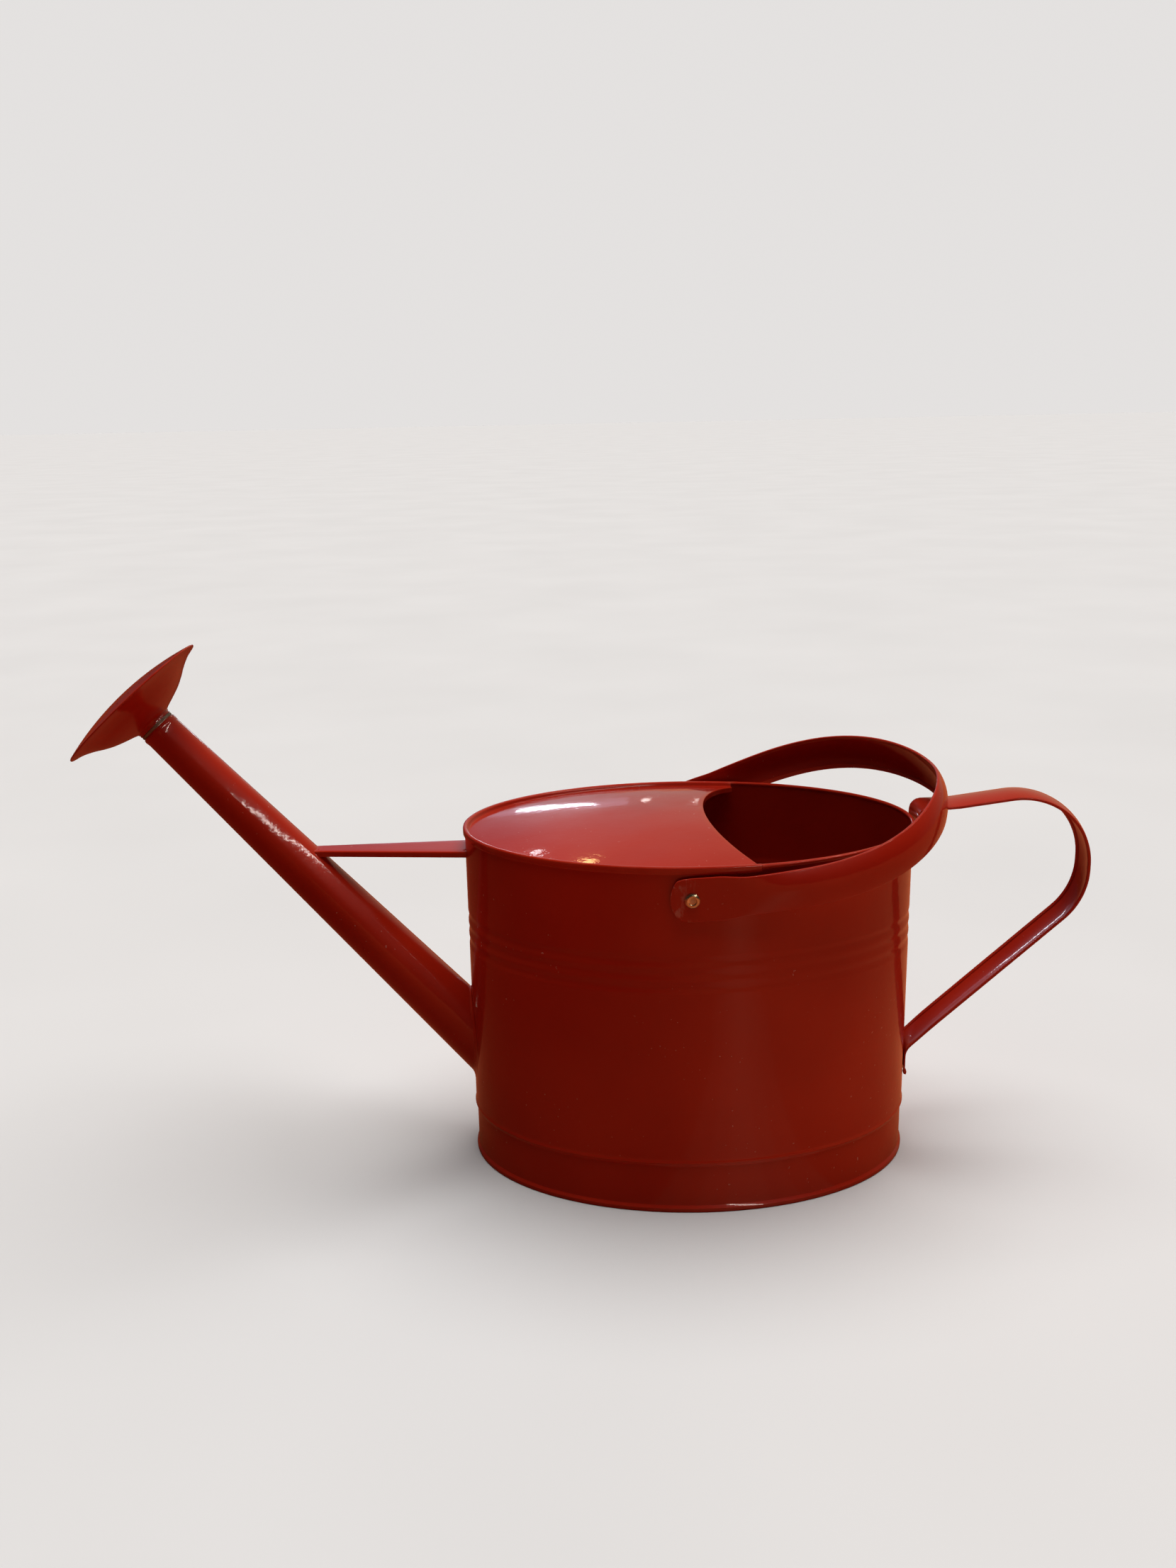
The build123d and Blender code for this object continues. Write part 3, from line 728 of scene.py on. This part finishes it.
def bail_point(turn):
    """Point on the strap's middle line; turn runs from 0 at -Y to pi at +Y."""
    reach_share = abs(math.sin(turn)) ** (2 / BAIL_REACH_POWER)
    side = -math.copysign(abs(math.cos(turn)) ** (2 / BAIL_SPAN_POWER), math.cos(turn))
    along = BAIL_REACH * reach_share
    lift = BAIL_LEAN * side * abs(side) * reach_share
    x = HINGE_X + along * math.cos(BAIL_TILT) - lift * math.sin(BAIL_TILT)
    z = HINGE_Z + along * math.sin(BAIL_TILT) + lift * math.cos(BAIL_TILT)
    bow = BAIL_BOW * math.sin(math.pi * reach_share)
    return Vector((x, (BAIL_HALF_SPAN + bow) * side, z))


def bail_axes(turn):
    """Origin, across and out directions of the strap, and the direction along it."""
    nudge = 0.01
    behind = bail_point(max(turn - nudge, 0))
    ahead = bail_point(min(turn + nudge, math.pi))
    along = (ahead - behind).normalized()
    out = along.cross(Vector((-math.sin(BAIL_TILT), 0, math.cos(BAIL_TILT)))).normalized()
    return bail_point(turn), out.cross(along), out, along


def bail_turns():
    """Turns spaced so that the steps along the strap are even."""
    first = [math.pi / 2 * (i / BAIL_STEPS) ** 1.5 for i in range(BAIL_STEPS)]
    return first + [math.pi / 2] + [math.pi - turn for turn in reversed(first)]


def tab_ends():
    """Distances past the hinge, and widths, of the rounded end of a tab."""
    corner = BAIL_TAB_CORNER
    radius = (BAIL_TAB_END_HALF**2 + corner**2) / (2 * corner)
    ends = []
    for share in (0.0, 0.02, 0.07, 0.16, 0.3, 0.5, 0.75, 1.0):
        depth = corner * share
        chord = math.sqrt(max(radius**2 - (radius - depth) ** 2, 0))
        ends.append((BAIL_TAB_END - depth, 2 * max(chord, 0.4 * MM)))
    return ends + in_metres(BAIL_TAB_SIDES)


def bail_section(axes, shift, width, arch, hem):
    """Section of the bail's strap, moved by shift along it."""
    origin, across, out, along = axes
    start = origin + along * shift
    return [start + across * x + out * y for x, y in strap_loop(width, arch, BAIL_SHEET, hem)]


def bail_strap():
    """Carrying strap: hemmed, arched outwards, with a flat rounded tab at each end."""
    sections = [bail_section(bail_axes(0), -shift, width, 0, 0) for shift, width in tab_ends()]
    for turn in bail_turns():
        reach = BAIL_REACH * abs(math.sin(turn)) ** (2 / BAIL_REACH_POWER)
        arm = smooth_share(reach, *BAIL_ARM)
        neck = smooth_share(reach, *BAIL_NECK)
        width = BAIL_TAB_WIDTH + (BAIL_WIDTH - BAIL_TAB_WIDTH) * neck
        sections.append(bail_section(bail_axes(turn), 0, width, BAIL_ARCH * arm, STRAP_HEM * arm))
    for shift, width in reversed(tab_ends()):
        sections.append(bail_section(bail_axes(math.pi), shift, width, 0, 0))
    return new_piece("bail_strap", sweep(sections))


# ---------------------------------------------------------------- rivets and solder

def rivet(side):
    """Blind rivet on one side of the can; side is -1 or 1."""
    plane = (Vector((HINGE_X, 0, HINGE_Z)), Vector((1, 0, 0)), Vector((0, 0, 1)), Vector((0, side, 0)))
    return revolve(in_metres(RIVET_HEAD + RIVET_SHANK), plane, RIVET_TURNS)


def blob(centre, size, seed):
    """Lump of solder: an uneven ellipsoid."""
    sections = []
    for ring in range(1, LUMP_RINGS):
        tilt = math.pi * ring / LUMP_RINGS
        loop = []
        for corner in range(LUMP_CORNERS):
            turn = 2 * math.pi * corner / LUMP_CORNERS
            out = math.sin(tilt)
            point = Vector((out * math.cos(turn), out * math.sin(turn), math.cos(tilt)))
            swell = 1 + LUMP_UNEVENNESS * noise.noise(point * 1.8 + Vector((seed, 0, 0)))
            loop.append(centre + Vector(point[i] * size[i] * swell for i in range(3)))
        sections.append(loop)
    return sweep(sections)


def solder_lumps(name, lumps):
    """Piece made of lumps of solder."""
    skins = []
    for seed, (centre, size) in enumerate(lumps):
        skins.append(blob(Vector(centre) * MM, [half * MM for half in size], seed))
    return new_piece(name, join_skins(*skins), sharp=80)


def brace_solder():
    """Solder at both ends of the brace; the spout's end is where the brace meets the spout."""
    tip_x = meets_spout(0, BRACE_TOP - 1 * MM) / MM
    tip_lumps = tuple(((tip_x + x, y, z), size) for (x, y, z), size in BRACE_TIP_LUMPS)
    return solder_lumps("brace_solder_beads", BRACE_WALL_LUMPS + tip_lumps)


# ---------------------------------------------------------------- materials

class Nodes:
    """Short way to add and join the shader nodes of a material or a world."""

    def __init__(self, owner):
        owner.use_nodes = True
        self.tree = owner.node_tree
        self.coordinates = self.add("ShaderNodeTexCoord").outputs

    def add(self, kind, **values):
        node = self.tree.nodes.new(kind)
        for name, value in values.items():
            setattr(node, name, value)
        return node

    def link(self, output, target):
        self.tree.links.new(output, target)

    def split(self, vector):
        node = self.add("ShaderNodeSeparateXYZ")
        self.link(vector, node.inputs[0])
        return node.outputs

    def camera_rays(self):
        return self.add("ShaderNodeLightPath").outputs["Is Camera Ray"]

    def noise(self, scale, detail, roughness=0.5, stretch=None):
        node = self.add("ShaderNodeTexNoise")
        node.inputs["Scale"].default_value = scale
        node.inputs["Detail"].default_value = detail
        node.inputs["Roughness"].default_value = roughness
        source = self.coordinates["Object"]
        if stretch:
            mapping = self.add("ShaderNodeMapping")
            mapping.inputs["Scale"].default_value = stretch
            self.link(source, mapping.inputs["Vector"])
            source = mapping.outputs["Vector"]
        self.link(source, node.inputs["Vector"])
        return node.outputs["Fac"]

    def ramp(self, value, low, high, start=0.0, end=1.0):
        node = self.add("ShaderNodeMapRange")
        node.inputs["From Min"].default_value = low
        node.inputs["From Max"].default_value = high
        node.inputs["To Min"].default_value = start
        node.inputs["To Max"].default_value = end
        self.link(value, node.inputs["Value"])
        return node.outputs["Result"]

    def product(self, first, second):
        node = self.add("ShaderNodeMath", operation="MULTIPLY")
        for socket, value in zip(node.inputs, (first, second)):
            if isinstance(value, float):
                socket.default_value = value
            else:
                self.link(value, socket)
        return node.outputs[0]

    def mix(self, share, first, second):
        node = self.add("ShaderNodeMix", data_type="RGBA")
        self.link(share, node.inputs["Factor"])
        for socket, value in zip((node.inputs["A"], node.inputs["B"]), (first, second)):
            if isinstance(value, tuple):
                socket.default_value = (*value, 1)
            else:
                self.link(value, socket)
        return node.outputs["Result"]

    def bump(self, height, distance, under=None):
        node = self.add("ShaderNodeBump")
        node.inputs["Distance"].default_value = distance
        node.inputs["Strength"].default_value = 1.0
        self.link(height, node.inputs["Height"])
        if under:
            self.link(under, node.inputs["Normal"])
        return node.outputs["Normal"]


class Look(Nodes):
    """Nodes of a new material, joined to its shader by finish."""

    def __init__(self, name):
        self.material = bpy.data.materials.new(name)
        super().__init__(self.material)

    def finish(self, **values):
        """Sets the shader's inputs to numbers or to the outputs of nodes, and returns the material."""
        shader = self.tree.nodes["Principled BSDF"]
        for name, value in values.items():
            socket = shader.inputs[name.replace("_", " ")]
            if isinstance(value, float):
                socket.default_value = value
            else:
                self.link(value, socket)
        return self.material


def rubbed_paint(n, colour):
    """Scuffs on the tabs of the bail, beyond its rivets."""
    past_hinge = n.ramp(n.split(n.coordinates["Object"])["X"], HINGE_X + 4 * MM, HINGE_X - 11 * MM)
    patches = n.ramp(n.noise(190, 5, 0.6, (1, 1, 0.5)), 0.52, 0.64)
    return n.mix(n.product(n.product(past_hinge, patches), 0.55), colour, SCUFFED)


def enamel(name, lumps=0.0, scuffs=False):
    """Glossy sprayed enamel: faint colour drift, orange peel, dust and thin paint on edges."""
    n = Look(name)
    colour = n.mix(n.ramp(n.noise(9, 2), 0.35, 0.65), RED, BRIGHT_RED)
    pointiness = n.add("ShaderNodeNewGeometry").outputs["Pointiness"]
    edge = n.product(n.ramp(pointiness, 0.52, 0.58), n.ramp(n.noise(60, 4), 0.4, 0.6))
    colour = n.mix(n.product(edge, 0.35), colour, EDGE_RED)
    specks = n.ramp(n.noise(420, 1), 0.74, 0.78)
    dust = n.product(specks, n.ramp(n.noise(16, 2), 0.5, 0.7))
    colour = n.mix(n.product(dust, 0.5), colour, DUST)
    if scuffs:
        colour = rubbed_paint(n, colour)
    rough = n.ramp(n.noise(35, 3), 0.3, 0.7, 0.30, 0.42)
    peel = n.bump(n.noise(260, 2), 0.06 * MM)
    waves = n.bump(n.noise(22, 1), 0.7 * MM, peel)
    if lumps:
        waves = n.bump(n.noise(180, 2), lumps, waves)
    return n.finish(
        Base_Color=colour, Roughness=rough, Normal=waves, Specular_IOR_Level=0.12,
        Coat_Weight=1.0, Coat_Roughness=0.07, Coat_IOR=1.4, Coat_Normal=waves,
    )


def plated_metal(name, base, tint, roughness):
    """Bare or plated metal with tarnish and fine machining marks."""
    n = Look(name)
    colour = n.mix(n.ramp(n.noise(120, 4), 0.35, 0.7), base, tint)
    marks = n.noise(900, 2, stretch=(1, 6, 1))
    rough = n.ramp(marks, 0.3, 0.7, roughness * 0.8, roughness * 1.3)
    return n.finish(Base_Color=colour, Roughness=rough, Metallic=1.0, Normal=n.bump(marks, 0.05 * MM))


def rubber():
    """Aged grey-green washer."""
    n = Look("seal_rubber_look")
    colour = n.mix(n.ramp(n.noise(300, 4), 0.3, 0.7), RUBBER, WORN_RUBBER)
    rough = n.ramp(n.noise(500, 2), 0.3, 0.7, 0.55, 0.8)
    return n.finish(Base_Color=colour, Roughness=rough, Normal=n.bump(n.noise(800, 2), 0.08 * MM))


# ---------------------------------------------------------------- scene

def place_light(data, name, place, colour, power):
    """Adds a light that shows only as a reflection."""
    data.color = colour
    data.energy = power
    light = bpy.data.objects.new(name, data)
    light.location = place
    light.visible_camera = False
    light.visible_diffuse = False
    bpy.context.scene.collection.objects.link(light)
    return light


def glow(name, place, size, power, colour, aim=(0, 0, 0.2), run=(0, 0, 1)):
    """Rectangular light turned towards aim, with its second side along run."""
    data = bpy.data.lights.new(name, "AREA")
    data.shape = "RECTANGLE"
    data.size, data.size_y = size
    light = place_light(data, name, place, colour, power)
    back = (light.location - Vector(aim)).normalized()
    across = Vector(run).cross(back).normalized()
    rotation = Matrix((across, back.cross(across), back)).transposed()
    light.matrix_world = Matrix.Translation(place) @ rotation.to_4x4()


def lamp(name, place, radius, power, colour):
    """Small round light."""
    data = bpy.data.lights.new(name, "POINT")
    data.shadow_soft_size = radius
    place_light(data, name, place, colour, power)


def overhead():
    """Soft light from straight overhead, the same all over the floor, that shows in no reflection."""
    data = bpy.data.lights.new("overhead", "SUN")
    data.angle = math.radians(OVERHEAD_WIDTH)
    data.energy = OVERHEAD_STRENGTH
    light = bpy.data.objects.new("overhead", data)
    light.rotation_euler = [math.radians(angle) for angle in OVERHEAD_TILT]
    light.visible_glossy = False
    bpy.context.scene.collection.objects.link(light)


def lighting():
    """Overhead light, a cool window and small lamps behind the can, and long lights beside and in front."""
    overhead()
    for window in WINDOWS:
        glow(*window)
    for light in LAMPS:
        lamp(*light)
    glow(*SIDE_STRIP, run=SIDE_STRIP_RUN)
    place = (*FLOOR_STREAK, 1 * MM)
    straight_up = (*FLOOR_STREAK, 1)
    for width, power in FLOOR_STREAKS:
        size = (width, FLOOR_STREAK_LENGTH)
        glow("floor_streak", place, size, power, FLOOR_STREAK_COLOUR, straight_up, FLOOR_STREAK_RUN)


def world():
    """Pale backdrop for the camera; for reflections, a dim room that is lighter at the back."""
    scene_world = bpy.data.worlds.new("room")
    bpy.context.scene.world = scene_world
    n = Nodes(scene_world)
    direction = n.split(n.coordinates["Generated"])
    back = n.mix(n.ramp(direction["X"], -0.15, 0.2), ROOM_BACK, ROOM_RIGHT)
    back = n.mix(n.ramp(direction["X"], -0.34, -0.1), ROOM_LEFT, back)
    room = n.tree.nodes["Background"]
    n.link(n.mix(n.ramp(direction["Y"], -0.2, 0.8), ROOM_FRONT, back), room.inputs["Color"])
    backdrop = n.add("ShaderNodeBackground")
    backdrop.inputs["Color"].default_value = (*BACKDROP, 1)
    choice = n.add("ShaderNodeMixShader")
    n.link(n.camera_rays(), choice.inputs["Fac"])
    n.link(room.outputs["Background"], choice.inputs[1])
    n.link(backdrop.outputs["Background"], choice.inputs[2])
    n.link(choice.outputs["Shader"], n.tree.nodes["World Output"].inputs["Surface"])


def floor():
    """Pale floor for the camera; for the can, its colour is painted bounce light and reflection, dark at -X
    and warm amber at +X.
    """
    mesh = bpy.data.meshes.new("floor")
    corners = [(-1, -1), (1, -1), (1, 1), (-1, 1)]
    mesh.from_pydata([(x * FLOOR_HALF, y * FLOOR_HALF, 0) for x, y in corners], [], [(0, 1, 2, 3)])
    plane = bpy.data.objects.new("floor", mesh)
    bpy.context.scene.collection.objects.link(plane)
    n = Look("floor_look")
    pale = n.mix(n.ramp(n.noise(3, 2), 0.3, 0.7), *FLOOR_PALE)
    # Colour for every ray but the camera's: painted bounce light and reflection on the can, dark at -X and
    # warm amber at +X
    painted_bounce = n.mix(n.ramp(n.split(n.coordinates["Object"])["X"], -0.4, 0.2), *FLOOR_PAINTED_BOUNCE)
    colour = n.mix(n.camera_rays(), painted_bounce, pale)
    mesh.materials.append(n.finish(Base_Color=colour, Roughness=0.9, Specular_IOR_Level=0.0))


def camera():
    """Camera at the photograph's place: a little above the can and slightly tilted."""
    pitch, roll, azimuth = (math.radians(angle) for angle in CAMERA_ANGLES)
    level = math.cos(pitch)
    forward = Vector((-math.sin(azimuth) * level, math.cos(azimuth) * level, -math.sin(pitch)))
    right = Vector((math.cos(azimuth), math.sin(azimuth), 0))
    up = right.cross(forward)
    side = right * math.cos(roll) + up * math.sin(roll)
    top = -right * math.sin(roll) + up * math.cos(roll)
    data = bpy.data.cameras.new("camera")
    data.lens = CAMERA_LENS
    data.sensor_width = CAMERA_SENSOR
    view = bpy.data.objects.new("camera", data)
    rotation = Matrix((side, top, -forward)).transposed()
    view.matrix_world = Matrix.Translation(CAMERA_PLACE) @ rotation.to_4x4()
    bpy.context.scene.collection.objects.link(view)
    bpy.context.scene.camera = view


def build_pieces():
    """The pieces that show, in place of CAD nodes; returns the looks that CAD nodes share with them."""
    red = enamel("red_enamel_look")
    painted_lumps = enamel("painted_solder_look", lumps=SOLDER_BUMPS)
    brass = plated_metal("rivet_look", *RIVET_METAL)
    finish_piece(body_wall(), red, "can", "red_enamel", "body_shell")
    finish_piece(new_piece("rear_rim_roll", rear_hem()), red, "can", "red_enamel")
    finish_piece(front_cover(), red, "can", "red_enamel", "front_cover")
    finish_piece(spout_tube(), red, "can", "red_enamel", "spout_tube")
    finish_piece(spout_fillet(), painted_lumps, "can", "painted_solder", "spout_solder")
    finish_piece(spout_brace(), red, "can", "red_enamel", "spout_brace")
    finish_piece(brace_solder(), painted_lumps, "can", "painted_solder", "brace_solder")
    finish_piece(rear_handle(), red, "can", "red_enamel", "rear_handle")
    handle_lumps = solder_lumps("handle_solder_beads", HANDLE_LUMPS)
    finish_piece(handle_lumps, painted_lumps, "can", "painted_solder", "handle_solder")
    finish_piece(rose_back(), red, "rose", "red_enamel", "rose_cone")
    finish_piece(rose_plate(), red, "rose", "red_enamel", "rose_face")
    finish_piece(seal_ring(), rubber(), "rose_seal", "seal_rubber", "rose_seal")
    finish_piece(bail_strap(), enamel("bail_enamel_look", scuffs=True), "bail", "red_enamel", "bail")
    rivets = new_piece("rivets", join_skins(rivet(-1), rivet(1)), sharp=45)
    finish_piece(rivets, brass, "can", "rivet_metal", "bail_rivets")
    return red, painted_lumps


def dress_cad_nodes(red, painted_lumps):
    """Materials of the CAD pieces that show as they are."""
    steel = plated_metal("bare_steel_look", *BARE_STEEL)
    mandrel = plated_metal("mandrel_look", *MANDREL_STEEL)
    looks = {
        "base_plate": red,
        "base_solder": painted_lumps,
        "rim_wire": steel,
        "spout_ferrule": steel,
        "inner_washers": steel,
        "bail_spacers": steel,
        "rivet_mandrels": mandrel,
    }
    for name, material in looks.items():
        node = frame["nodes"][name]
        node.data.materials.clear()
        node.data.materials.append(material)


bpy.context.scene.view_settings.view_transform = "Standard"
camera()
world()
floor()
lighting()
dress_cad_nodes(*build_pieces())
